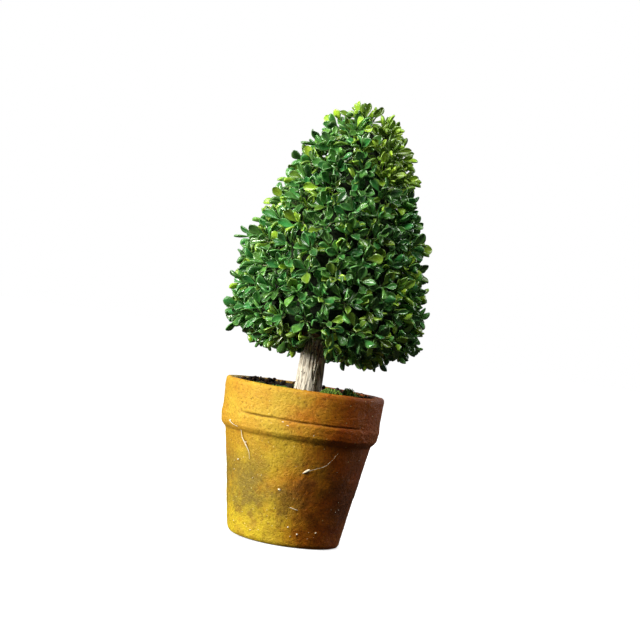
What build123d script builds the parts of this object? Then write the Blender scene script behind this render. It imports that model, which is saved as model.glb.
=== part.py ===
"""Artificial boxwood cone in a pulp pot: a tabletop tree about 250 mm tall.

A pressed paper-pulp pot holds a poured plaster ballast, a foam plug and a thin cover of
loose soil with moss. A natural branch stands in the ballast and carries a foam cone,
and moulded leaf sprigs are pushed into the cone, row above row, by their pegs.

Frame: +Z up, origin at the centre of the pot's flat foot, +X to the side the tree leans
to. Millimetres.
"""

from build123d import *
import math
import os

os.makedirs("parts", exist_ok=True)

# Pot
pot_height = 88.0
rim_radius = 46.0
foot_radius = 32.0
body_top_radius = 41.5
wall = 4.5
floor_thickness = 6.0
collar_height = 27.0
collar_low_radius = 44.7
step_height = 3.0
groove_height = 70.0
groove_depth = 1.0
groove_half_width = 0.9
rim_round = 1.6
foot_round = 2.0

# Filling
ballast_top = 34.0
plug_top = 79.5
soil_top = 84.2
plug_clearance = 0.3
moss_count = 5
moss_ring_radius = 30.0
string_radius = 0.35
string_bend = 5.0
string_waypoints = [
    [(210.5, 64.2, 0.6), (221, 61.6, 1.0), (226, 55, 0.9), (231.5, 46.5, 0.5)],
    [(283, 44.2, 0.6), (291, 46.5, 0.7), (298, 49.5, 0.7), (303.8, 55.7, 0.6)],
]

# Branch
trunk_radius = 7.4
trunk_x = 1.5
trunk_foot_z = 12.0
trunk_depth_in_cone = 48.0
bark_ridges = 16
ridge_radius = 1.5
socket_clearance = 0.2
glue_width = 3.2
glue_height = 2.6

# Foam cone, leaning to +X and pushed on a little off its own middle
lean = 3.3
cone_base_x = 4.3
cone_base_z = 119.0
core_base_radius = 43.0
core_edge_radius = 9.0
flank_low_angle = 6.0
flank_high_angle = 28.0
core_tip_radius = 13.0

# Sprigs
row_pitch = 12.4
first_row = 20.0
sprig_pitch = 12.8
peg_depth = 8.0
peg_radius = 1.1
side_reach = 15.5
under_reach = 14.5
crown_reach = 13.5
leaf_length = 8.4
leaf_width = 4.9
stalk_width = 1.2
leaf_thickness = 0.7
low_leaf_rise = 34.0
high_leaf_rise = 60.0
sprig_wobble = 4.0
turn_spread = 16.0

collar_base = pot_height - collar_height
inner_foot_radius = foot_radius - wall
inner_rim_radius = rim_radius - wall


def inner_radius(height):
    """The pot's inner radius at a height above the foot."""
    rise = (height - floor_thickness) / (pot_height - floor_thickness)
    return inner_foot_radius + rise * (inner_rim_radius - inner_foot_radius)


def collar_radius(height):
    """The collar's outer radius at a height above the foot."""
    rise = (height - collar_base) / collar_height
    return collar_low_radius + rise * (rim_radius - collar_low_radius)


def on_pot(around, height, lift):
    """A point at a lift off the pot's outside, at an angle from +X and a height."""
    slope = (body_top_radius - foot_radius) / (collar_base - step_height)
    if height < collar_base:
        radius = foot_radius + slope * height + lift
    else:
        radius = collar_radius(height) + lift
    turn = math.radians(around)
    return (radius * math.cos(turn), radius * math.sin(turn), height)


def save(piece, name):
    """Labels a finished piece and writes it to its own file."""
    piece.label = name
    export_step(piece, f"parts/{name}.step")


# The head's frame: its origin is the centre of the foam cone's base.
lean_direction = Vector(math.sin(math.radians(lean)), 0, math.cos(math.radians(lean)))
lean_across = Vector(lean_direction.Z, 0, -lean_direction.X)
head = Plane(
    origin=(cone_base_x, 0, cone_base_z), x_dir=lean_across, z_dir=lean_direction
)
head_section = Plane(origin=head.origin, x_dir=head.x_dir, z_dir=-head.y_dir)
head_axis = Axis(head.origin, head.z_dir)

# Pot: a tapered body under a thick collar with a pressed line round it
with BuildPart() as pot:
    with BuildSketch(Plane.XZ):
        with BuildLine():
            Polyline(
                (0, 0),
                (foot_radius, 0),
                (body_top_radius, collar_base - step_height),
                (collar_low_radius, collar_base),
                (collar_radius(groove_height), groove_height - groove_half_width),
                (collar_radius(groove_height) - groove_depth, groove_height),
                (collar_radius(groove_height), groove_height + groove_half_width),
                (rim_radius, pot_height),
                (inner_rim_radius, pot_height),
                (inner_foot_radius, floor_thickness),
                (0, floor_thickness),
                close=True,
            )
        make_face()
    revolve(axis=Axis.Z)
    fillet(pot.edges().filter_by(GeomType.CIRCLE).group_by(Axis.Z)[-1], rim_round)
    fillet(pot.edges().filter_by(GeomType.CIRCLE).group_by(Axis.Z)[0], foot_round)
save(pot.part, "pot")

# Branch: ridged bark, upright from the ballast into the cone
trunk_foot = Plane(origin=(trunk_x, 0, trunk_foot_z))
trunk_length = cone_base_z + trunk_depth_in_cone - trunk_foot_z
with BuildPart() as trunk:
    with BuildSketch(trunk_foot):
        Circle(trunk_radius - ridge_radius / 2)
        with PolarLocations(trunk_radius - ridge_radius, bark_ridges):
            Circle(ridge_radius)
    extrude(amount=trunk_length)
save(trunk.part, "trunk")

# The drilled socket that takes the branch's upper end in the cone
with BuildPart() as trunk_socket:
    with BuildSketch(trunk_foot):
        Circle(trunk_radius + socket_clearance)
    extrude(amount=trunk_length)


def fill_layer(bottom, top, clearance):
    """A layer of the pot's filling, with the branch's hole through it."""
    with BuildPart() as layer:
        with BuildSketch(Plane.XZ):
            with BuildLine():
                Polyline(
                    (0, bottom),
                    (inner_radius(bottom) - clearance, bottom),
                    (inner_radius(top) - clearance, top),
                    (0, top),
                    close=True,
                )
            make_face()
        revolve(axis=Axis.Z)
        add(trunk.part, mode=Mode.SUBTRACT)
    return layer.part


save(fill_layer(floor_thickness, ballast_top, 0), "plaster_ballast")
save(fill_layer(ballast_top, plug_top, plug_clearance), "foam_plug")
save(fill_layer(plug_top, soil_top, plug_clearance), "soil_cover")


def glue_collar(ring_plane):
    """A fillet of hot-melt glue round the branch, on the plane it runs out on."""
    section = Plane(
        origin=ring_plane.origin, x_dir=ring_plane.x_dir, z_dir=-ring_plane.y_dir
    )
    with BuildPart() as collar:
        with BuildSketch(section):
            with BuildLine():
                inner = Line((trunk_radius / 2, glue_height), (trunk_radius / 2, 0))
                foot = Line(inner @ 1, (trunk_radius + glue_width, 0))
                slope = ThreePointArc(
                    foot @ 1,
                    (trunk_radius + glue_width * 0.45, glue_height * 0.36),
                    (trunk_radius + ridge_radius / 4, glue_height),
                )
                Line(slope @ 1, inner @ 0)
            make_face()
        revolve(axis=Axis(ring_plane.origin, ring_plane.z_dir))
        add(trunk.part, mode=Mode.SUBTRACT)
    return collar.part


socket_mouth = head.origin + head.x_dir * ((trunk_x - cone_base_x) / head.x_dir.X)
soil_plane = Plane(origin=(trunk_x, 0, soil_top))
cone_plane = Plane(origin=socket_mouth, x_dir=head.x_dir, z_dir=-head.z_dir)
save(glue_collar(soil_plane), "glue_collar_soil")
save(glue_collar(cone_plane), "glue_collar_cone")

# Glue strings: thin threads of hot-melt glue that dried on the pot's front
with BuildPart() as glue_strings:
    for waypoints in string_waypoints:
        points = [on_pot(*waypoint) for waypoint in waypoints]
        with BuildLine() as string_path:
            FilletPolyline(*points, radius=string_bend)
        path = string_path.wire()
        with BuildSketch(Plane(origin=path @ 0, z_dir=path % 0)):
            Circle(string_radius)
        sweep(path=path)
save(glue_strings.part, "glue_strings")

# Moss: tufts laid in a loose ring on the soil, no two the same size
for tuft in range(moss_count):
    around = math.radians(20 + tuft * 360 / moss_count + 14 * math.sin(3 * tuft))
    tuft_radius = 5.0 + 1.6 * math.sin(2.2 * tuft)
    tuft_height = 3.6 + 0.8 * math.cos(1.7 * tuft)
    ring = moss_ring_radius - tuft_radius / 3
    centre = Vector(ring * math.cos(around), ring * math.sin(around), soil_top)
    dome_radius = (tuft_radius**2 + tuft_height**2) / (2 * tuft_height)
    half_way = math.asin(tuft_radius / dome_radius) / 2
    with BuildPart() as moss:
        with BuildSketch(Plane(origin=centre, x_dir=(1, 0, 0), z_dir=(0, -1, 0))):
            with BuildLine():
                Polyline((0, tuft_height), (0, 0), (tuft_radius, 0))
                ThreePointArc(
                    (tuft_radius, 0),
                    (
                        dome_radius * math.sin(half_way),
                        tuft_height - dome_radius * (1 - math.cos(half_way)),
                    ),
                    (0, tuft_height),
                )
            make_face()
        revolve(axis=Axis(centre, (0, 0, 1)))
    save(moss.part, f"moss_tuft_{tuft + 1}")

# The cone's outline, radius along X and height along Y: a flat underside, a round edge,
# a flank that bulges as one large arc, and a round tip, each tangent to the last
flank_low = math.radians(flank_low_angle)
flank_high = math.radians(flank_high_angle)
edge_end = core_base_radius - core_edge_radius * (1 - math.cos(flank_low))
flank_radius = (edge_end - core_tip_radius * math.cos(flank_high)) / (
    math.cos(flank_low) - math.cos(flank_high)
)
with BuildLine() as core_outline:
    underside = Line((0, 0), (core_base_radius - core_edge_radius, 0))
    edge = JernArc(underside @ 1, underside % 1, core_edge_radius, 90 + flank_low_angle)
    flank = JernArc(edge @ 1, edge % 1, flank_radius, flank_high_angle - flank_low_angle)
    JernArc(flank @ 1, flank % 1, core_tip_radius, 90 - flank_high_angle)
outline = core_outline.wire()


def make_leaf():
    """One spoon-shaped leaf that grows along +X from its stalk, face up."""
    with BuildPart() as leaf:
        with BuildSketch(Plane.XY.offset(-leaf_thickness / 2)):
            with Locations((leaf_length - leaf_width / 2, 0)):
                Circle(leaf_width / 2)
            Circle(stalk_width / 2)
            make_hull()
        extrude(amount=leaf_thickness)
    return leaf.part


def make_sprig(leaf, pairs, reach):
    """A moulded sprig: a peg below its origin, and crossed pairs of leaves up its stem."""
    stem_length = reach - leaf_length * math.sin(math.radians(high_leaf_rise))
    with BuildPart() as sprig:
        with BuildSketch(Plane.XZ):
            with BuildLine():
                Polyline(
                    (0, -peg_depth),
                    (peg_radius * 0.4, -peg_depth),
                    (peg_radius, -peg_depth * 0.7),
                    (peg_radius, 0),
                    (peg_radius * 0.7, stem_length),
                    (0, stem_length),
                    close=True,
                )
            make_face()
        revolve(axis=Axis.Z)
        for pair in range(pairs):
            share = pair / (pairs - 1)
            height = stem_length * (0.25 + 0.67 * share)
            rise = low_leaf_rise + share * (high_leaf_rise - low_leaf_rise)
            for side in (0, 180):
                with Locations(
                    Location((0, 0, height), (0, 0, 90 * pair + side))
                    * Location((0, 0, 0), (0, -rise, 0))
                ):
                    add(leaf)
    return sprig.part


leaf = make_leaf()
side_sprig = make_sprig(leaf, 4, side_reach)
under_sprig = make_sprig(leaf, 3, under_reach)
crown_sprig = make_sprig(leaf, 3, crown_reach)


def sprig_places(row, radius, height, out_angle):
    """Where the sprigs of one row stand. The angle is from the cone's axis, 0 up."""
    count = max(1, round(2 * math.pi * radius / sprig_pitch))
    places = []
    for k in range(count):
        around = 360 * (k + 0.5 * (row % 2)) / count
        turn = 45 + turn_spread * math.sin(1.9 * k + 2.6 * row)
        wobble = sprig_wobble * math.sin(2.4 * k + row)
        places.append(
            head.location
            * Location((0, 0, height), (0, 0, around))
            * Location((radius, 0, 0), (wobble, out_angle, 0))
            * Location((0, 0, 0), (0, 0, turn))
        )
    return places


# Rows of sprigs, walked along the outline from under the cone to its tip
rows = []
peg_holes = []
row_count = 1 + int((outline.length - first_row) / row_pitch)
for row in range(row_count):
    along = first_row + row * (outline.length - first_row) / (row_count - 1)
    point = outline.position_at(along, position_mode=PositionMode.LENGTH)
    heading = outline.tangent_at(along, position_mode=PositionMode.LENGTH)
    out_angle = math.degrees(math.atan2(heading.Y, -heading.X))
    form = under_sprig if out_angle > 130 else crown_sprig if out_angle < 60 else side_sprig
    places = sprig_places(row, abs(point.X), point.Y, out_angle)
    rows.append([form.moved(place) for place in places])
    peg_holes += [place * Location((0, 0, peg_radius)) for place in places]

# Foam cone, with the branch's socket and every peg's hole
with BuildPart() as foam_cone:
    with BuildSketch(head_section):
        with BuildLine():
            add(core_outline.line)
            Line(core_outline.line @ 1, (0, 0))
        make_face()
    revolve(axis=head_axis)
    add(trunk_socket.part, mode=Mode.SUBTRACT)
    with Locations(*peg_holes):
        Hole(peg_radius, depth=peg_radius + peg_depth)
save(foam_cone.part, "foam_cone")

for number, row in enumerate(rows, start=1):
    save(Compound(row), f"sprig_row_{number:02d}")
    print(f"row {number}: {len(row)} sprigs")
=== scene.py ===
"""The looks of an artificial boxwood cone in a pressed paper-pulp pot.

Metres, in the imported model's frame: +Z up, the origin at the centre of the pot's foot,
-Y to the front. The head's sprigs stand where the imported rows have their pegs.
"""

import math
import random

import bmesh
import bpy
from mathutils import Matrix, Vector, noise


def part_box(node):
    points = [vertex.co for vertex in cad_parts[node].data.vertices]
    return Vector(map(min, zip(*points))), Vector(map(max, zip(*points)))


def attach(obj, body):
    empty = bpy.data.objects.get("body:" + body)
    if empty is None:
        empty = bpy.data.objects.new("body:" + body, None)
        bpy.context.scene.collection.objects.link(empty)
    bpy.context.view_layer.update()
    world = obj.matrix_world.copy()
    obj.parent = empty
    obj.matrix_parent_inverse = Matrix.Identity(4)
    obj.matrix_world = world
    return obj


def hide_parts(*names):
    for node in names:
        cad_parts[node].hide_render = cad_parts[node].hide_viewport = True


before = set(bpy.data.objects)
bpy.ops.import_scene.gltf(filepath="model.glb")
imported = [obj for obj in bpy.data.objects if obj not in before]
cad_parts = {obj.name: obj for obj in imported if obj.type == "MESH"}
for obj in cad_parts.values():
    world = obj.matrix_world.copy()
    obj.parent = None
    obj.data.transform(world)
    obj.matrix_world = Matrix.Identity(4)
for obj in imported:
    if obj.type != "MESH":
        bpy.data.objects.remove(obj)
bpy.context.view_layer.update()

MM = 0.001
rng = random.Random(606)


# ---------------------------------------------------------------- mesh helpers


class Soup:
    """Many small closed shapes gathered into one mesh, with a tint on each vertex."""

    def __init__(self):
        self.verts = []
        self.faces = []
        self.slots = []
        self.tints = []

    def add(self, verts, faces, tints, slot=0):
        """Adds one shape. tints is one (r, g, b) for each vertex, or one for them all."""
        start = len(self.verts)
        self.verts += verts
        self.faces += [tuple(start + i for i in face) for face in faces]
        self.slots += [slot] * len(faces)
        self.tints += tints if isinstance(tints, list) else [tints] * len(verts)

    def build(self, name, materials):
        """Makes the object, smooth, with the tints as a colour attribute."""
        mesh = bpy.data.meshes.new(name)
        mesh.from_pydata([tuple(v) for v in self.verts], [], self.faces)
        for material in materials:
            mesh.materials.append(material)
        mesh.polygons.foreach_set("material_index", self.slots)
        mesh.polygons.foreach_set("use_smooth", [True] * len(self.faces))
        layer = mesh.color_attributes.new("tint", "FLOAT_COLOR", "POINT")
        layer.data.foreach_set("color", [c for t in self.tints for c in (*t, 1.0)])
        mesh.update()
        made = bpy.data.objects.new(name, mesh)
        bpy.context.scene.collection.objects.link(made)
        return made


def finish_piece(piece, slot, *nodes):
    """Rides a piece on the one body, in place of its CAD nodes."""
    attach(piece, "root")
    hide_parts(*nodes)


def grid_faces(rows, columns, closed):
    """Quads of a grid of rows by columns, joined round its columns if closed."""
    faces = []
    for i in range(rows - 1):
        for j in range(columns if closed else columns - 1):
            k = (j + 1) % columns
            low, high = i * columns, (i + 1) * columns
            faces.append((low + j, low + k, high + k, high + j))
    return faces


def capped_faces(rings, sides):
    """Quads between rings of so many sides, and a cap on either end."""
    faces = grid_faces(rings, sides, True)
    faces.append(tuple(range(sides - 1, -1, -1)))
    last = (rings - 1) * sides
    faces.append(tuple(range(last, last + sides)))
    return faces


def tube(points, radii, sides):
    """A closed tube along points, with a radius for each."""
    verts = []
    side = Vector((0.31, 0.52, 0.79))
    for i, point in enumerate(points):
        ahead = points[min(i + 1, len(points) - 1)] - points[max(i - 1, 0)]
        ahead.normalize()
        across = ahead.cross(side).normalized()
        side = across.cross(ahead)
        for k in range(sides):
            turn = 2 * math.pi * k / sides
            verts.append(point + radii[i] * (math.cos(turn) * across + math.sin(turn) * side))
    return verts, capped_faces(len(points), sides)


def smooth_path(points, steps):
    """Points of a smooth curve through the given points."""
    path = []
    for i in range(len(points) - 1):
        a = points[max(i - 1, 0)]
        b, c = points[i], points[i + 1]
        d = points[min(i + 2, len(points) - 1)]
        for step in range(steps):
            t = step / steps
            path.append(
                b
                + (c - a) * (0.5 * t)
                + (2 * a - 5 * b + 4 * c - d) * (0.5 * t * t)
                + (3 * b - a - 3 * c + d) * (0.5 * t**3)
            )
    return path + [points[-1]]


def resample(outline, steps):
    """An outline's points with each run cut into its number of equal steps."""
    points = []
    for (r0, z0), (r1, z1), count in zip(outline, outline[1:], steps):
        for i in range(count):
            t = i / count
            points.append((r0 + (r1 - r0) * t, z0 + (z1 - z0) * t))
    return points + [outline[-1]]


def lathe(outline, segments, shape):
    """A closed turned form. The outline starts and ends on the axis."""
    verts = [Vector((0, 0, outline[0][1]))]
    inner = outline[1:-1]
    for r, z in inner:
        for k in range(segments):
            turn = 2 * math.pi * k / segments
            verts.append(shape(r, z, turn))
    verts.append(Vector((0, 0, outline[-1][1])))
    faces = [tuple(i + 1 for i in face) for face in grid_faces(len(inner), segments, True)]
    top = 1 + (len(inner) - 1) * segments
    for k in range(segments):
        following = (k + 1) % segments
        faces.append((0, 1 + following, 1 + k))
        faces.append((len(verts) - 1, top + k, top + following))
    return verts, faces


def lump(detail, roughness, seed):
    """An uneven pebble of about unit radius."""
    mesh = bmesh.new()
    bmesh.ops.create_icosphere(mesh, subdivisions=detail, radius=1)
    away = Vector((seed * 3.1, seed * 1.7, 0))
    verts = [v.co * (1 + roughness * noise.noise(v.co * 1.6 + away)) for v in mesh.verts]
    faces = [tuple(v.index for v in face.verts) for face in mesh.faces]
    mesh.free()
    return verts, faces


def random_turn():
    """A random orientation."""
    spin = Matrix.Rotation(rng.uniform(0, 2 * math.pi), 4, "Z")
    tip = Matrix.Rotation(rng.uniform(0, math.pi), 4, "X")
    return spin @ tip @ Matrix.Rotation(rng.uniform(0, 2 * math.pi), 4, "Z")


# ------------------------------------------------------------ material helpers


# how much of a spot's radius is fully inside it
SPOT_CORE = 0.7


class Nodes:
    """A short way to write a material's nodes round one Principled shader."""

    def __init__(self, name, roughness, specular=0.5):
        self.material = bpy.data.materials.new(name)
        self.material.use_nodes = True
        self.tree = self.material.node_tree
        self.shader = self.tree.nodes["Principled BSDF"]
        self.shader.inputs["Roughness"].default_value = roughness
        self.shader.inputs["Specular IOR Level"].default_value = specular
        self.place = self.node("ShaderNodeTexCoord").outputs["Object"]

    def node(self, kind, **settings):
        made = self.tree.nodes.new(kind)
        for key, value in settings.items():
            setattr(made, key, value)
        return made

    def link(self, source, target):
        self.tree.links.new(source, target)

    def noise(self, size, detail=3.0, stretch=(1, 1, 1), rough=0.55):
        """Noise with features of that size in metres, 0 to 1."""
        mapping = self.node("ShaderNodeMapping")
        mapping.inputs["Scale"].default_value = [1 / (size * s) for s in stretch]
        self.link(self.place, mapping.inputs["Vector"])
        made = self.node("ShaderNodeTexNoise")
        made.inputs["Scale"].default_value = 1.0
        made.inputs["Detail"].default_value = detail
        made.inputs["Roughness"].default_value = rough
        self.link(mapping.outputs["Vector"], made.inputs["Vector"])
        return made.outputs["Fac"]

    def spots(self, size, radius):
        """Small round spots, 1 inside, one in each cell of that size."""
        mapping = self.node("ShaderNodeMapping")
        mapping.inputs["Scale"].default_value = [1 / size] * 3
        self.link(self.place, mapping.inputs["Vector"])
        cells = self.node("ShaderNodeTexVoronoi")
        cells.inputs["Scale"].default_value = 1.0
        self.link(mapping.outputs["Vector"], cells.inputs["Vector"])
        return self.ramp(cells.outputs["Distance"], radius / size, radius * SPOT_CORE / size)

    def ramp(self, value, low, high, start=0.0, end=1.0):
        """Takes low to high onto start to end, smoothly, and holds outside them."""
        made = self.node("ShaderNodeMapRange", interpolation_type="SMOOTHSTEP")
        self.link(value, made.inputs["Value"])
        if low > high:
            low, high, start, end = high, low, end, start
        made.inputs["From Min"].default_value = low
        made.inputs["From Max"].default_value = high
        made.inputs["To Min"].default_value = start
        made.inputs["To Max"].default_value = end
        return made.outputs["Result"]

    def math(self, operation, a, b):
        """A maths node. Each of a and b is a number or a socket."""
        made = self.node("ShaderNodeMath", operation=operation)
        for socket, value in zip(made.inputs, (a, b)):
            if isinstance(value, (int, float)):
                socket.default_value = value
            else:
                self.link(value, socket)
        return made.outputs[0]

    def mix(self, amount, a, b, blend="MIX"):
        """Colour a to colour b by amount. Each is a colour or a socket."""
        made = self.node("ShaderNodeMix", data_type="RGBA", blend_type=blend)
        for socket, value in zip((made.inputs[0], made.inputs[6], made.inputs[7]), (amount, a, b)):
            if isinstance(value, (int, float)):
                socket.default_value = value
            elif isinstance(value, tuple):
                socket.default_value = (*value, 1.0)
            else:
                self.link(value, socket)
        return made.outputs[2]

    def along(self, axis):
        """The place along X, Y or Z from the centre of the pot's foot, in metres."""
        split = self.node("ShaderNodeSeparateXYZ")
        self.link(self.place, split.inputs[0])
        return split.outputs[axis]

    def tint(self):
        """The three channels of the mesh's tint."""
        tint = self.node("ShaderNodeAttribute", attribute_name="tint")
        split = self.node("ShaderNodeSeparateColor")
        self.link(tint.outputs["Color"], split.inputs[0])
        return split.outputs

    def colour(self, source):
        self.link(source, self.shader.inputs["Base Color"])

    def roughness(self, source):
        self.link(source, self.shader.inputs["Roughness"])

    def bump(self, source, depth):
        """Bump of that depth in metres, for a height from 0 to 1."""
        made = self.node("ShaderNodeBump")
        made.inputs["Strength"].default_value = 1.0
        made.inputs["Distance"].default_value = depth
        self.link(source, made.inputs["Height"])
        self.link(made.outputs["Normal"], self.shader.inputs["Normal"])


def pot_material():
    """Painted paper pulp: ochre, rusty on the collar, with an olive patina; darker and redder to
    +X, partly the paint's rust and partly painted shade, and painted shade in the pressed line.
    """
    n = Nodes("pulp_ochre_with_painted_shade", 0.6, 0.2)
    height = n.along("Z")
    cloud = n.noise(22 * MM, 5.0)
    blotch = n.noise(7 * MM, 4.0)
    grain = n.noise(1.5 * MM, 4.0, rough=0.65)
    fine = n.noise(0.6 * MM, 2.0)
    body = n.mix(n.ramp(cloud, 0.38, 0.62), (0.52, 0.345, 0.020), (0.47, 0.255, 0.014))
    collar = n.mix(n.ramp(cloud, 0.36, 0.64), (0.55, 0.365, 0.030), (0.53, 0.280, 0.022))
    base = n.mix(n.ramp(height, 0.057, 0.062), body, collar)
    band = n.math("MULTIPLY", n.ramp(height, 0.003, 0.022), n.ramp(height, 0.060, 0.034))
    patina = n.math("MULTIPLY", band, n.ramp(n.noise(17 * MM, 4.0), 0.34, 0.60))
    base = n.mix(n.math("MULTIPLY", patina, 0.85), base, (0.18, 0.130, 0.018))
    foot = n.math("MULTIPLY", n.ramp(height, 0.034, 0.006), n.ramp(blotch, 0.40, 0.62))
    base = n.mix(n.math("MULTIPLY", foot, 0.60), base, (0.70, 0.55, 0.016))
    base = n.mix(n.ramp(blotch, 0.55, 0.78, 0.0, 0.45), base, (0.36, 0.11, 0.005))
    base = n.mix(n.ramp(grain, 0.53, 0.72, 0.0, 0.42), base, (0.76, 0.50, 0.040))
    base = n.mix(n.ramp(grain, 0.47, 0.28, 0.0, 0.75), base, (0.15, 0.070, 0.005))
    base = n.mix(n.ramp(fine, 0.60, 0.80, 0.0, 0.35), base, (0.85, 0.62, 0.12))
    # Painted shade: towards +X the colour is multiplied darker and redder, partly the paint's own
    # rust and partly the shade of the side turned away from the key light.
    side = n.math("ADD", n.along("X"), n.math("MULTIPLY", n.math("SUBTRACT", cloud, 0.5), 0.04))
    base = n.mix(n.ramp(side, -0.016, 0.016), base, (0.90, 0.52, 0.25), "MULTIPLY")
    base = n.mix(n.ramp(side, 0.005, 0.024), base, (0.74, 0.46, 0.25), "MULTIPLY")
    # Painted shade: the pressed line, whose depth the tint's green carries, is coloured near-black
    # as the shade in the crease.
    pressed = n.math("MULTIPLY", n.tint()[1], 0.85)
    base = n.mix(pressed, base, (0.10, 0.038, 0.004))
    specks = n.math("MULTIPLY", n.spots(3.6 * MM, 0.40 * MM), n.ramp(blotch, 0.50, 0.56))
    base = n.mix(n.math("MULTIPLY", specks, 0.5), base, (0.90, 0.75, 0.30))
    n.colour(base)
    n.roughness(n.ramp(blotch, 0.3, 0.7, 0.42, 0.68))
    n.bump(n.math("ADD", grain, n.math("MULTIPLY", fine, 0.5)), 0.0006)
    return n.material


def leaf_material():
    """Moulded plastic leaves. Tint: red is how lime, green how light, blue the rim, which is
    painted paler: partly the plastic's paler edge and petiole, partly painted highlight.
    """
    n = Nodes("boxwood_leaf", 0.32, 0.75)
    lime, light, rim = n.tint()[0], n.tint()[1], n.tint()[2]
    mottle = n.noise(2.4 * MM, 2.0)
    deep = n.mix(mottle, (0.014, 0.120, 0.020), (0.032, 0.200, 0.045))
    young = n.mix(mottle, (0.20, 0.36, 0.010), (0.34, 0.50, 0.030))
    base = n.mix(lime, deep, young)
    base = n.mix(1.0, base, n.mix(light, (0.31, 0.33, 0.31), (1.88, 1.80, 1.85)), "MULTIPLY")
    # Partly painted highlight: the rim and petiole are mixed paler, partly the plastic's own paler
    # edge.
    base = n.mix(n.math("MULTIPLY", rim, 0.38), base, (0.20, 0.38, 0.10))
    n.colour(base)
    n.roughness(n.ramp(mottle, 0.3, 0.7, 0.17, 0.34))
    n.bump(n.noise(0.9 * MM, 2.0), 0.00012)
    return n.material


def stem_material():
    """Thin moulded stems, pale green to straw."""
    n = Nodes("sprig_stem", 0.45)
    n.colour(n.mix(n.noise(3 * MM), (0.16, 0.27, 0.06), (0.42, 0.44, 0.24)))
    n.bump(n.noise(0.6 * MM), 0.0001)
    return n.material


def bark_material():
    """Dry ribbed bark: pale ridges, dark cracks between them, and pits."""
    n = Nodes("dry_bark", 0.78, 0.25)
    groove = n.tint()[1]
    ribs = n.noise(0.9 * MM, 4.0, (1, 1, 9))
    streak = n.noise(4 * MM, 3.0, (1, 1, 5))
    base = n.mix(n.ramp(ribs, 0.30, 0.52), (0.36, 0.27, 0.16), (0.86, 0.80, 0.66))
    base = n.mix(n.ramp(streak, 0.56, 0.78, 0.0, 0.5), base, (0.46, 0.33, 0.18))
    cracks = n.math("MULTIPLY", groove, n.ramp(n.noise(2.5 * MM, 3.0), 0.30, 0.50))
    base = n.mix(n.math("MULTIPLY", cracks, 0.92), base, (0.055, 0.032, 0.016))
    pits = n.math("MULTIPLY", n.spots(1.9 * MM, 0.42 * MM), n.ramp(streak, 0.42, 0.50))
    base = n.mix(n.math("MULTIPLY", pits, 0.9), base, (0.020, 0.014, 0.010))
    n.colour(base)
    n.bump(n.math("ADD", ribs, n.math("MULTIPLY", n.noise(0.5 * MM), 0.4)), 0.0005)
    return n.material


def crumb_material():
    """Peat crumbs and chips, each with its own tint."""
    n = Nodes("peat", 0.9, 0.2)
    tint = n.node("ShaderNodeAttribute", attribute_name="tint")
    shade = n.mix(n.noise(0.8 * MM, 3.0), (0.35, 0.35, 0.35), (1.4, 1.4, 1.4))
    n.colour(n.mix(1.0, tint.outputs["Color"], shade, "MULTIPLY"))
    n.bump(n.noise(0.5 * MM, 3.0), 0.0003)
    return n.material


def moss_material():
    """Dyed preserved moss."""
    n = Nodes("moss_fibre", 0.75, 0.3)
    tint = n.node("ShaderNodeAttribute", attribute_name="tint")
    shade = n.mix(n.noise(1.2 * MM), (0.5, 0.5, 0.5), (1.3, 1.3, 1.3))
    n.colour(n.mix(1.0, tint.outputs["Color"], shade, "MULTIPLY"))
    n.bump(n.noise(0.3 * MM), 0.0001)
    return n.material


def glue_material(name, dark, light):
    """Set hot-melt glue, cloudy and glossy."""
    n = Nodes(name, 0.22, 0.6)
    n.colour(n.mix(n.noise(1.5 * MM), dark, light))
    n.bump(n.noise(1.2 * MM), 0.0002)
    return n.material


def filling_material(name, dark, light, grain_size, depth):
    """A dull material for the hidden foam and plaster."""
    n = Nodes(name, 0.9, 0.2)
    grain = n.noise(grain_size, 4.0)
    n.colour(n.mix(n.ramp(grain, 0.3, 0.7), dark, light))
    n.bump(grain, depth)
    return n.material


# ------------------------------------------------------------------------ pot

pot_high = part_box("pot")[1]
POT_HEIGHT = pot_high.z
RIM_RADIUS = pot_high.x
WALL = 4.5 * MM
FLOOR_THICKNESS = 6 * MM
FOOT_RADIUS = 32 * MM
# the body spreads by so many mm over its run
BODY_SPREAD = 9.5
BODY_RUN = 58 * MM
CREASE_HEIGHT = 70.2 * MM
COLLAR_FOOT = 61.5 * MM
COLLAR_RADIUS = 44.7 * MM
POT_SEGMENTS = 288


def outer_radius(z):
    """The pot's outer radius at a height: straight body, flare, then the collar."""
    if z < COLLAR_FOOT:
        return (32 + BODY_SPREAD * z / BODY_RUN) * MM
    share = (z - COLLAR_FOOT) / (POT_HEIGHT - COLLAR_FOOT)
    return COLLAR_RADIUS + share * (RIM_RADIUS - COLLAR_RADIUS)


def around_noise(turn, ripples, seed):
    """Noise that closes on itself once round the pot."""
    ring = Vector((math.cos(turn), math.sin(turn), 0)) * ripples
    return noise.noise(ring + Vector((seed, 0, seed * 1.3)))


def crease_share(z, turn):
    """How deep the pressed line is at a place, 0 to 1. It fades out at the sides."""
    crease = CREASE_HEIGHT + 0.6 * MM * around_noise(turn, 2.2, 4.0)
    crease += 0.25 * MM * around_noise(turn, 14.0, 7.0)
    depth = 0.62 + 0.5 * around_noise(turn, 3.0, 9.0)
    depth *= min(1.0, max(0.0, 4.5 * (math.sin(turn) ** 2 - 0.42)))
    return max(0.0, depth) * math.exp(-(((z - crease) / (0.55 * MM)) ** 2))


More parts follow.
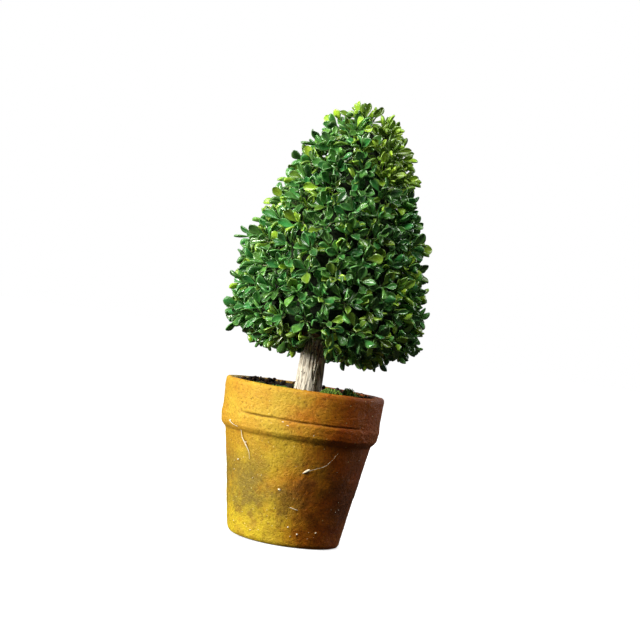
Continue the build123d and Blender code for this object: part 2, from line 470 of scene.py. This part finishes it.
def pulp_surface(r, z, turn):
    """A point of the pot's surface with the unevenness of pressed pulp."""
    direction = Vector((math.cos(turn), math.sin(turn), 0))
    point = direction * r + Vector((0, 0, z))
    outside = r > outer_radius(max(0.0, min(z, POT_HEIGHT))) - 3 * MM
    near_rim = max(0.0, (z - 0.080) / 0.008)
    lift = (0.35 * around_noise(turn, 3.0, 2.0) + 0.5 * max(0.0, math.sin(turn - 0.5))) * near_rim
    if not outside:
        uneven = direction * 0.25 * MM * noise.noise(point / (9 * MM))
        return point + uneven + Vector((0, 0, lift * MM))
    push = 0.42 * noise.noise(point / (26 * MM)) + 0.24 * noise.noise(point / (8 * MM))
    push += 0.17 * noise.noise(point / (2.6 * MM)) + 0.13 * noise.noise(point / (1.3 * MM))
    push -= 1.1 * crease_share(z, turn)
    push += 0.22 * math.exp(-(((z - CREASE_HEIGHT + 2.2 * MM) / (1.6 * MM)) ** 2))
    near_foot = max(0.0, 1 - z / (2 * MM))
    lift += 0.5 * around_noise(turn, 3.5, 6.0) * math.exp(-(((z - COLLAR_FOOT) / (3 * MM)) ** 2))
    worn = max(0.0, -math.cos(turn)) ** 2 * max(0.0, r / FOOT_RADIUS - 0.8) * 5
    lift += 1.5 * worn * math.exp(-((z / (4 * MM)) ** 2))
    return point + direction * push * (1 - near_foot) * MM + Vector((0, 0, lift * MM))


def make_pot():
    """The pot, turned in one closed form: foot, body, collar, lip and inside."""
    foot, rim = FOOT_RADIUS, RIM_RADIUS
    outline = [
        (0, 0),
        (foot - 1.8 * MM, 0),
        (foot - 0.7 * MM, 0.4 * MM),
        (foot + 0.15 * MM, 1.6 * MM),
        (outer_radius(55 * MM), 55 * MM),
        (41.8 * MM, 59.4 * MM),
        (43.5 * MM, 61.0 * MM),
        (44.5 * MM, 62.6 * MM),
        (44.9 * MM, 65.2 * MM),
        (45.1 * MM, 73 * MM),
        (rim - 0.2 * MM, POT_HEIGHT - 2.2 * MM),
        (rim - 0.5 * MM, POT_HEIGHT - 0.9 * MM),
        (rim - 1.6 * MM, POT_HEIGHT - 0.1 * MM),
        (rim - WALL + 1.4 * MM, POT_HEIGHT - 0.1 * MM),
        (rim - WALL, POT_HEIGHT - 1.2 * MM),
        (rim - WALL - 0.7 * MM, 76 * MM),
        (27 * MM, FLOOR_THICKNESS),
        (0, FLOOR_THICKNESS),
    ]
    # how many steps each run of the outline is cut into
    steps = [3, 2, 3, 56, 5, 5, 4, 5, 30, 16, 3, 3, 4, 3, 10, 8, 3]
    pot = Soup()
    verts, faces = lathe(resample(outline, steps), POT_SEGMENTS, pulp_surface)
    tints = []
    for point in verts:
        outside = math.hypot(point.x, point.y) > 43.5 * MM
        turn = math.atan2(point.y, point.x)
        # the tint's green is the crease's depth, which the pot's material paints as shade in the
        # pressed line
        tints.append((1, crease_share(point.z, turn) if outside else 0.0, 0))
    pot.add(verts, faces, tints)
    finish_piece(pot.build("pulp_pot", [pot_material()]), "pot_pulp", "pot")


def on_pot(degrees, z, lift):
    """A point at a lift off the pot's outside. Degrees count from +X."""
    turn = math.radians(degrees)
    r = outer_radius(z) + lift
    return Vector((r * math.cos(turn), r * math.sin(turn), z))


# ---------------------------------------------------------------------- trunk

TRUNK_RADIUS = 7.4 * MM
TRUNK_RINGS = 170
TRUNK_SEGMENTS = 180
LEAN = math.radians(3.3)

# the foam cone's outline: flat base, round edge, bowed flank and round tip
cone_low, cone_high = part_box("foam_cone")
CORE_BASE = 43 * MM
CORE_EDGE = 9 * MM
FLANK_LOW = math.radians(6)
FLANK_HIGH = math.radians(28)
CORE_TIP = 13 * MM
edge_centre = CORE_BASE - CORE_EDGE
EDGE_TURN = math.pi / 2 + FLANK_LOW
FLANK_RADIUS = (edge_centre + CORE_EDGE * math.sin(EDGE_TURN) - CORE_TIP * math.cos(FLANK_HIGH)) / (
    math.cos(FLANK_LOW) - math.cos(FLANK_HIGH)
)
head_x = cone_high.x - edge_centre * math.cos(LEAN) - CORE_EDGE * math.sin(LEAN) - CORE_EDGE
head_z = cone_low.z + edge_centre * math.sin(LEAN) - CORE_EDGE * math.cos(LEAN) + CORE_EDGE
HEAD = Matrix.Translation((head_x, 0, head_z)) @ Matrix.Rotation(LEAN, 4, "Y")


def make_trunk():
    """The branch: long ribs with cracks between them, a little thicker at the soil."""
    low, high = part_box("trunk")
    middle = (low.x + high.x) / 2
    trunk = Soup()
    verts, tints = [], []
    for i in range(TRUNK_RINGS):
        z = low.z + (high.z - low.z) * i / (TRUNK_RINGS - 1)
        centre = Vector((middle, 0, z))
        flare = 0.7 * MM * math.exp(-(((z - 80 * MM) / (14 * MM)) ** 2))
        for k in range(TRUNK_SEGMENTS):
            turn = 2 * math.pi * k / TRUNK_SEGMENTS
            direction = Vector((math.cos(turn), math.sin(turn), 0))
            at = direction * TRUNK_RADIUS
            sway = turn + 0.14 * noise.noise(Vector((0.3, 0.7, z / (12 * MM))))
            ring = Vector((math.cos(sway), math.sin(sway), 0)) * (TRUNK_RADIUS / (2.1 * MM))
            crack = abs(noise.noise(ring + Vector((0, 0, z / (24 * MM)))))
            groove = max(0.0, 1 - crack / 0.16)
            knots = noise.noise(Vector((at.x / 6, at.y / 6, z / 9)) / MM)
            nicks = noise.noise(Vector((at.x / 0.9, at.y / 0.9, z / 3)) / MM)
            depth = 0.50 * groove - 0.35 * knots + 0.16 * nicks
            verts.append(centre + direction * (TRUNK_RADIUS + flare - depth * MM))
            tints.append((1, groove, 0))
    trunk.add(verts, capped_faces(TRUNK_RINGS, TRUNK_SEGMENTS), tints)
    finish_piece(trunk.build("branch", [bark_material()]), "bark", "trunk")


# -------------------------------------------------------------- soil and moss

PEAT = ((0.030, 0.017, 0.010), (0.055, 0.028, 0.014), (0.018, 0.011, 0.008))
CHIPS = ((0.22, 0.12, 0.06), (0.40, 0.34, 0.24), (0.13, 0.045, 0.018))

CRUMB_COUNT = 700
CHIP_SHARE = 0.14
MOSS_FIBRES = 70


def make_soil():
    """A bed of peat with loose crumbs and a few pale chips on it."""
    low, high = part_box("soil_cover")
    edge = high.x

    def heap(x, y):
        """How far the peat stands over its level: rough, and banked against the wall."""
        bank = max(0.0, math.hypot(x, y) / edge - 0.55) / 0.45
        ridge = 2.1 + (1.4 * y - 0.8 * x) / edge
        ridge += 1.6 * noise.noise(Vector((x, y, 0)) / (15 * MM))
        return (0.8 * noise.noise(Vector((x, y, 0)) / (4 * MM)) + bank * ridge) * MM

    def bed(r, z, turn):
        point = Vector((r * math.cos(turn), r * math.sin(turn), z))
        if z > low.z + 1 * MM:
            point.z += heap(point.x, point.y)
        return point

    soil = Soup()
    outline = [(0, low.z), (edge - MM, low.z), (edge, high.z - 0.6 * MM), (0, high.z - 0.4 * MM)]
    verts, faces = lathe(resample(outline, [4, 3, 30]), 120, bed)
    soil.add(verts, faces, PEAT[0])
    shapes = [lump(2, 0.7, seed) for seed in range(6)]
    for _ in range(CRUMB_COUNT):
        away = edge * rng.random() ** 0.4 * 0.975
        turn = rng.uniform(0, 2 * math.pi)
        size = rng.uniform(0.5, 1.4) * MM
        x, y = away * math.cos(turn), away * math.sin(turn)
        centre = Vector((x, y, high.z + heap(x, y) + 0.3 * size))
        squash = Matrix.Diagonal((1, rng.uniform(0.5, 1), rng.uniform(0.45, 0.9), 1))
        place = Matrix.Translation(centre) @ random_turn() @ squash
        shape, shape_faces = rng.choice(shapes)
        tint = rng.choice(CHIPS if rng.random() < CHIP_SHARE else PEAT)
        soil.add([place @ (v * size) for v in shape], shape_faces, tint)
    finish_piece(soil.build("peat_bed", [crumb_material()]), "soil", "soil_cover")


def make_moss(number, material):
    """One tuft: a tangle of short curved fibres over its CAD dome."""
    node = f"moss_tuft_{number}"
    low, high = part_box(node)
    centre = (low + high) / 2
    spread = (high.x - low.x) / 2
    tuft = Soup()
    for _ in range(MOSS_FIBRES):
        turn = rng.uniform(0, 2 * math.pi)
        away = spread * rng.uniform(0, 0.75)
        start = Vector((centre.x + away * math.cos(turn), centre.y + away * math.sin(turn), low.z))
        heading = Vector((math.cos(turn), math.sin(turn), 0)) * rng.uniform(0.1, 1.0)
        heading += Vector((rng.uniform(-1, 1), rng.uniform(-1, 1), 0)) * 0.6
        length = rng.uniform(3.5, 8.0) * MM
        rise = rng.uniform(1.5 * MM, (high.z - low.z) * (1.5 if centre.x > 0 else 1.0))
        points = []
        for i in range(7):
            t = i / 6
            point = start + heading * length * t * 0.7
            point.z += rise * math.sin(math.pi * min(1, 0.15 + 0.75 * t)) - 0.3 * MM
            point += 0.5 * MM * Vector((noise.noise(point / MM), noise.noise(point / MM * 1.3), 0))
            points.append(point)
        radii = [(0.26 - 0.14 * i / 6) * MM for i in range(7)]
        verts, faces = tube(points, radii, 5)
        green = rng.random() * (0.25 if centre.x < 0 < centre.y else 1.0)
        tint = (0.07 + 0.22 * green, 0.18 + 0.32 * green, 0.03 + 0.03 * green)
        tuft.add(verts, faces, tint)
    finish_piece(tuft.build(f"moss_{number}", [material]), "moss", node)


# ----------------------------------------------------------------------- glue

STRING_STEPS = 10
SMALL_DROPS = 26
# the strings' points: degrees from +X, height and lift off the pot in mm
STRINGS = (
    ((210.5, 64.2, 0.7), (217, 62.6, 0.9), (221.5, 61, 1.0), (224, 56.5, 1.2), (227.6, 53, 1.0),
     (231, 49, 0.6), (231.6, 45, 0.4)),
    ((283, 44.2, 0.5), (289, 46, 0.6), (295, 47.8, 0.6), (300, 51.5, 0.6), (303.8, 55.7, 0.7)),
)
# their radii at those points, in mm
STRING_RADII = (
    (0.26, 0.14, 0.16, 0.24, 0.36, 0.20, 0.08),
    (0.08, 0.06, 0.07, 0.06, 0.04),
)
# the larger drops: degrees from +X, height, how tall, how wide, in mm, and their tilt
BLOBS = (
    (210.5, 64.3, 1.2, 1.3, 20),
    (226.8, 54.0, 1.5, 1.1, -30),
    (281, 43.7, 1.2, 4.4, 33),
    (261, 31.5, 0.9, 1.6, -20),
    (276, 22, 0.4, 4.8, -15),
    (217.5, 43.5, 0.8, 1.3, 0),
    (283, 8.1, 0.9, 1.0, 10),
    (301.6, 9.9, 0.6, 1.1, 40),
    (236, 6.1, 0.6, 0.7, 0),
    (273.4, 11.5, 0.6, 0.8, 30),
    (279.4, 65.6, 0.7, 0.7, 0),
    (281, 64.2, 0.6, 0.6, 0),
    (262, 67.5, 0.6, 1.6, -10),
    (258, 69, 0.5, 1.2, -10),
)


def make_glue(material):
    """Dried strings and drops of glue on the pot's front."""
    glue = Soup()
    for widths, waypoints in zip(STRING_RADII, STRINGS):
        places = [on_pot(a, z * MM, lift * MM) for a, z, lift in waypoints]
        points = smooth_path(places, STRING_STEPS)
        radii = []
        for i, point in enumerate(points):
            k = min(i // STRING_STEPS, len(widths) - 2)
            t = min(i, STRING_STEPS * (len(widths) - 1)) / STRING_STEPS
            width = widths[k] + (widths[k + 1] - widths[k]) * (t - k)
            radii.append(width * (1 + 0.4 * noise.noise(point / (1.7 * MM))) * MM)
        glue.add(*tube(points, radii, 8), (1, 1, 1))
    shapes = [lump(2, 0.45, seed + 20) for seed in range(4)]
    drops = list(BLOBS)
    for _ in range(SMALL_DROPS):
        height = 6 + 50 * rng.random() ** 1.7
        tall, wide = rng.uniform(0.2, 0.45), rng.uniform(0.25, 0.6)
        drops.append((rng.uniform(205, 335), height, tall, wide, rng.uniform(-50, 50)))
    for degrees, z, tall, wide, tilt in drops:
        place = Matrix.Translation(on_pot(degrees, z * MM, 0.1 * MM))
        place @= Matrix.Rotation(math.radians(degrees), 4, "Z")
        place @= Matrix.Rotation(math.radians(tilt), 4, "X")
        place @= Matrix.Diagonal((0.45 * tall * MM, wide * 0.55 * MM, tall * 0.5 * MM, 1))
        shape, faces = rng.choice(shapes)
        glue.add([place @ v for v in shape], faces, (1, 1, 1))
    finish_piece(glue.build("glue_strings_dried", [material]), "hot_glue", "glue_strings")


# ---------------------------------------------------------------------- sprigs

FIRST_ROW = 20 * MM
SPRIG_PITCH = 12.8 * MM
SPRIG_WOBBLE = 4.0
TURN_SPREAD = 16.0
SIDE_REACH = 15.5 * MM
UNDER_REACH = 14.5 * MM
CROWN_REACH = 13.5 * MM
LEAF_LENGTH = 11.2 * MM
LIME_SHARE = 0.12
YOUNG_SHARE = 0.12
GOLDEN_TURN = 137.5
# half of a plain leaf's width, as a share of its length
HALF_WIDTH = 0.235
CROWN_STRETCH = {11: 1.15, 12: 1.18}
STEM, LEAF = 1, 0
# how wide the leaf is along its length, as shares of its length and half width
LEAF_OUTLINE = (
    (0.0, 0.15),
    (0.20, 0.13),
    (0.36, 0.40),
    (0.54, 0.82),
    (0.69, 1.0),
    (0.84, 0.90),
    (0.95, 0.55),
    (1.0, 0.22),
)
ACROSS = (-1.0, -0.62, 0.0, 0.62, 1.0)


def outline_place(along):
    """The foam cone's outline: radius, height and the angle of its normal from up."""
    if along < edge_centre:
        return along, 0.0, math.pi
    along -= edge_centre
    if along < CORE_EDGE * EDGE_TURN:
        turn = along / CORE_EDGE
        r = edge_centre + CORE_EDGE * math.sin(turn)
        return r, CORE_EDGE * (1 - math.cos(turn)), math.pi - turn
    along -= CORE_EDGE * EDGE_TURN
    turn = min(FLANK_HIGH - FLANK_LOW, along / FLANK_RADIUS) + FLANK_LOW
    r = edge_centre + CORE_EDGE * math.sin(EDGE_TURN)
    r -= FLANK_RADIUS * (math.cos(FLANK_LOW) - math.cos(turn))
    z = CORE_EDGE * (1 - math.cos(EDGE_TURN))
    z += FLANK_RADIUS * (math.sin(turn) - math.sin(FLANK_LOW))
    if turn < FLANK_HIGH:
        return r, z, math.pi / 2 - turn
    along -= FLANK_RADIUS * (FLANK_HIGH - FLANK_LOW)
    turn = min(math.pi / 2, FLANK_HIGH + along / CORE_TIP)
    z += CORE_TIP * (math.sin(turn) - math.sin(FLANK_HIGH))
    return CORE_TIP * math.cos(turn), z, math.pi / 2 - turn


def outline_length():
    """The length of that outline from the middle of the base to the tip."""
    flank = FLANK_RADIUS * (FLANK_HIGH - FLANK_LOW)
    return edge_centre + CORE_EDGE * EDGE_TURN + flank + CORE_TIP * (math.pi / 2 - FLANK_HIGH)


def leaf_shape(slim, cup, curl, notch):
    """A closed leaf of unit length along +X, its face up: verts, faces, rim shares."""
    half = HALF_WIDTH * slim
    top, bottom, rim = [], [], []
    for u, share in LEAF_OUTLINE:
        for v in ACROSS:
            x = u - 0.035 * v * v * (u > 0.8)
            if u == 1.0:
                x -= notch * (1 - abs(v))
            y = half * share * v
            z = cup * half * share * v * v + curl * u * u - 0.02 * (1 - abs(v)) * share
            thick = 0.030 + 0.014 * abs(v) * (u > 0.3)
            top.append(Vector((x, y, z + thick)))
            bottom.append(Vector((x, y, z - 0.03)))
            # the rim share: how much paler the leaf is painted, partly the plastic's paler edge and
            # petiole, partly painted highlight
            rim.append(max(0.0, abs(v) * 1.6 - 0.6) if u > 0.3 else 0.8)
    rows, columns = len(LEAF_OUTLINE), len(ACROSS)
    count = rows * columns
    faces = []
    for a, b, c, d in grid_faces(rows, columns, False):
        faces.append((a, d, c, b))
        faces.append((count + a, count + b, count + c, count + d))
    border = [j for j in range(columns)]
    border += [i * columns + columns - 1 for i in range(1, rows)]
    border += [(rows - 1) * columns + j for j in range(columns - 2, -1, -1)]
    border += [i * columns for i in range(rows - 2, 0, -1)]
    for a, b in zip(border, border[1:] + border[:1]):
        faces.append((a, b, count + b, count + a))
    return top + bottom, faces, rim + rim


LEAVES = [
    leaf_shape(1.00, 0.45, 0.12, 0.00),
    leaf_shape(0.90, 0.70, 0.02, 0.03),
    leaf_shape(1.12, 0.25, 0.16, 0.00),
    leaf_shape(0.78, 0.50, -0.10, 0.00),
    leaf_shape(1.02, 0.60, -0.04, 0.06),
    leaf_shape(0.74, 0.50, 0.12, 0.00),
]


def in_notch(point):
    """Whether a point is in the gap in the lower front leaves that shows the branch."""
    half = 7.2 * MM - 0.32 * (point.z - 107 * MM)
    return point.y < 0 and point.z < 119.5 * MM and abs(point.x - 0.5 * MM) < half


def add_leaf(soup, place, length, lime, light, narrow):
    """One leaf along +X of its place, unless it would fill the gap at the branch."""
    tip = place @ Vector((length, 0, 0))
    if in_notch(tip) or in_notch(place @ Vector((0.6 * length, 0, 0))):
        return
    verts, faces, rims = LEAVES[5] if narrow else rng.choice(LEAVES)
    tints = [(lime, light, rim) for rim in rims]
    soup.add([place @ (v * length) for v in verts], faces, tints, LEAF)


def add_shoot(soup, place, length, leaves, leaf_length, lime, narrow):
    """A short stem along +Z with leaves round its upper end."""
    bow = Vector((rng.uniform(-0.1, 0.1), rng.uniform(-0.1, 0.1), 0)) * length
    shares = (0, 0.35, 0.7, 1)
    points = [place @ (Vector((0, 0, length * t)) + bow * math.sin(math.pi * t)) for t in shares]
    verts, faces = tube(points, [0.55 * MM, 0.48 * MM, 0.42 * MM, 0.32 * MM], 5)
    soup.add(verts, faces, (1, 1, 1), STEM)
    start = rng.uniform(0, 360)
    for k in range(leaves):
        share = k / max(1, leaves - 1)
        height = length * (0.52 + 0.46 * share)
        rise = 10 + 48 * share + rng.uniform(-13, 13)
        turn = start + GOLDEN_TURN * k + rng.uniform(-16, 16)
        at = place @ Matrix.Translation((0, 0, height))
        at @= Matrix.Rotation(math.radians(turn), 4, "Z")
        at @= Matrix.Rotation(math.radians(-rise), 4, "Y")
        at @= Matrix.Rotation(math.radians(rng.uniform(-32, 32)), 4, "X")
        size = leaf_length * rng.uniform(0.74, 1.10)
        young = rng.uniform(0.35, 0.8) if rng.random() < YOUNG_SHARE else rng.uniform(-0.14, 0.12)
        tone = min(1.0, max(0.0, lime + young))
        add_leaf(soup, at, size, tone, rng.uniform(0.0, 1.0), narrow)


def add_sprig(soup, place, reach, crown):
    """A branched sprig: a middle shoot and side shoots that lean away from it."""
    stem = reach - 0.66 * LEAF_LENGTH
    lime = rng.uniform(0.65, 1.0) if crown or rng.random() < LIME_SHARE else rng.uniform(0.0, 0.16)
    add_shoot(soup, place, stem, 6, LEAF_LENGTH, lime, crown)
    sides = 6 if crown else 3
    start = rng.uniform(0, 360)
    for k in range(sides):
        turn = start + 360 * k / sides + rng.uniform(-20, 20)
        at = place @ Matrix.Translation((0, 0, stem * rng.uniform(0.0, 0.40)))
        at @= Matrix.Rotation(math.radians(turn), 4, "Z")
        at @= Matrix.Rotation(math.radians(rng.uniform(34, 60)), 4, "Y")
        side_lime = lime
        if not crown:
            side_lime = 0.8 if rng.random() < LIME_SHARE else rng.uniform(0.0, 0.16)
        length = rng.uniform(4.5, 7.5) * MM
        add_shoot(soup, at, length, 4, LEAF_LENGTH * 0.92, side_lime, crown)


def make_row(number, rows, materials):
    """One row of sprigs, each on its peg in the foam."""
    length = outline_length()
    along = FIRST_ROW + (number - 1) * (length - FIRST_ROW) / (rows - 1)
    radius, height, out_angle = outline_place(along)
    out_degrees = math.degrees(out_angle)
    reach = SIDE_REACH
    if out_degrees > 130:
        reach = UNDER_REACH
    elif out_degrees < 60:
        reach = CROWN_REACH
    count = max(1, round(2 * math.pi * radius / SPRIG_PITCH))
    index = number - 1
    soup = Soup()
    for k in range(count):
        around = 2 * math.pi * (k + 0.5 * (index % 2)) / count
        wobble = math.radians(SPRIG_WOBBLE * math.sin(2.4 * k + index))
        turn = math.radians(45 + TURN_SPREAD * math.sin(1.9 * k + 2.6 * index))
        place = HEAD @ Matrix.Translation((0, 0, height)) @ Matrix.Rotation(around, 4, "Z")
        place @= Matrix.Translation((radius, 0, 0)) @ Matrix.Rotation(wobble, 4, "X")
        place @= Matrix.Rotation(out_angle, 4, "Y") @ Matrix.Rotation(turn, 4, "Z")
        crown = number >= rows - 3 and math.cos(around) > 0.25
        side = math.cos(around)
        stretch = rng.uniform(0.88, 1.02)
        if crown:
            stretch *= CROWN_STRETCH.get(number, 1.0)
        elif number == 6 and side < -0.7:
            stretch *= 1.35
        elif number in (8, 9) and side > 0.7:
            stretch *= 0.86
        elif number > 4 and side < 0 and rng.random() < 0.12:
            stretch *= 1.2
        elif number < 4:
            stretch *= 0.90
        add_sprig(soup, place, reach * stretch, crown)
    name = f"sprig_row_{number:02d}"
    finish_piece(soup.build(f"leaves_{number:02d}", materials), "boxwood_leaf", name)


# ------------------------------------------------------------------ the object


def paint(node, material):
    """Gives a CAD node that stays its material."""
    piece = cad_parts[node]
    if not piece.material_slots:
        piece.data.materials.append(material)
    for holder in piece.material_slots:
        holder.link = "OBJECT"
        holder.material = material


make_pot()
make_trunk()
make_soil()
moss = moss_material()
moss_nodes = [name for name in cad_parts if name.startswith("moss_tuft_")]
for number in range(1, len(moss_nodes) + 1):
    make_moss(number, moss)
make_glue(glue_material("hot_glue", (0.60, 0.48, 0.24), (0.90, 0.86, 0.72)))
soiled_glue = glue_material("soiled_glue", (0.10, 0.055, 0.022), (0.36, 0.24, 0.11))
for node in ("glue_collar_soil", "glue_collar_cone"):
    paint(node, soiled_glue)
# Painted shade: the foam is coloured near-black, partly its own dark green dye and partly the shade
# in the gaps between the sprigs.
foam_and_gap_shade_colours = (0.010, 0.016, 0.007), (0.022, 0.034, 0.014)
foam = filling_material("floral_foam_and_gap_shade", *foam_and_gap_shade_colours, 0.8 * MM, 0.0004)
for node in ("foam_cone", "foam_plug"):
    paint(node, foam)
plaster = filling_material("plaster", (0.55, 0.52, 0.46), (0.78, 0.76, 0.70), 3 * MM, 0.0003)
paint("plaster_ballast", plaster)
leaf_materials = [leaf_material(), stem_material()]
row_nodes = [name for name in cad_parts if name.startswith("sprig_row_")]
for number in range(1, len(row_nodes) + 1):
    make_row(number, len(row_nodes), leaf_materials)


# -------------------------------------------------------------- floor and light


def make_floor():
    """A wide pale disc under the pot that glows by itself, more so far away, so that it pales to
    white and the pot's shadow on it is faint.
    """
    mesh = bmesh.new()
    bmesh.ops.create_circle(mesh, cap_ends=True, segments=128, radius=8)
    data = bpy.data.meshes.new("floor")
    mesh.to_mesh(data)
    mesh.free()
    floor = bpy.data.objects.new("floor", data)
    floor.location.z = -0.0002
    bpy.context.scene.collection.objects.link(floor)
    n = Nodes("pale_floor", 0.9, 0.0)
    n.shader.inputs["Base Color"].default_value = (0.6, 0.6, 0.6, 1)
    n.shader.inputs["Emission Color"].default_value = (1, 1, 1, 1)
    distance = n.node("ShaderNodeVectorMath", operation="LENGTH")
    n.link(n.place, distance.inputs[0])
    # Painted light: the floor's own glow, from 0.72 near the pot to 1.0 far away, fills in the
    # shadow on it.
    glow = n.ramp(distance.outputs["Value"], 0.15, 1.2, 0.72, 1.0)
    n.link(glow, n.shader.inputs["Emission Strength"])
    data.materials.append(n.material)
    floor.visible_diffuse = False
    floor.visible_glossy = False


def add_light(name, azimuth, elevation, distance, size, power, colour):
    """A soft square light that faces the tree. Azimuth 0 is the front, 90 the right."""
    data = bpy.data.lights.new(name, "AREA")
    data.size = size
    data.energy = power
    data.color = colour
    turn, rise = math.radians(azimuth), math.radians(elevation)
    aim = Vector((0, 0, 0.12))
    level = math.cos(rise)
    away = Vector((math.sin(turn) * level, -math.cos(turn) * level, math.sin(rise)))
    light = bpy.data.objects.new(name, data)
    light.location = aim + away * distance
    light.rotation_euler = away.to_track_quat("Z", "Y").to_euler()
    bpy.context.scene.collection.objects.link(light)


def make_world():
    """White behind the tree, and a weak even light on it."""
    world = bpy.data.worlds.new("studio")
    world.use_nodes = True
    tree = world.node_tree
    background = tree.nodes["Background"]
    background.inputs["Color"].default_value = (1, 1, 1, 1)
    path = tree.nodes.new("ShaderNodeLightPath")
    strength = tree.nodes.new("ShaderNodeMapRange")
    strength.inputs["To Min"].default_value = 0.05
    strength.inputs["To Max"].default_value = 1.0
    tree.links.new(path.outputs["Is Camera Ray"], strength.inputs["Value"])
    tree.links.new(strength.outputs["Result"], background.inputs["Strength"])
    bpy.context.scene.world = world


def make_camera():
    """A level camera in front, rolled so that the tree tips to the right."""
    distance, roll = 0.96, math.radians(8.6)
    target = Vector((2.4 * MM, 0, 127 * MM))
    data = bpy.data.cameras.new("camera")
    data.sensor_width = 36
    data.lens = 94.5
    camera = bpy.data.objects.new("camera", data)
    right = Vector((math.cos(roll), 0, math.sin(roll)))
    up = Vector((-math.sin(roll), 0, math.cos(roll)))
    back = Vector((0, -1, 0))
    turn = Matrix((right, up, back)).transposed().to_4x4()
    camera.matrix_world = Matrix.Translation(target + back * distance) @ turn
    bpy.context.scene.collection.objects.link(camera)
    bpy.context.scene.camera = camera


make_floor()
make_world()
make_camera()
add_light("key", -66, 12, 1.2, 0.45, 25, (1.0, 0.97, 0.92))
add_light("top", -15, 55, 1.2, 0.60, 14, (1.0, 0.99, 0.97))
add_light("back", 180, 40, 1.2, 0.60, 6, (0.95, 0.98, 1.0))
add_light("side", 128, 24, 1.2, 0.60, 6, (0.97, 0.98, 1.0))
bpy.context.scene.view_settings.view_transform = "Standard"
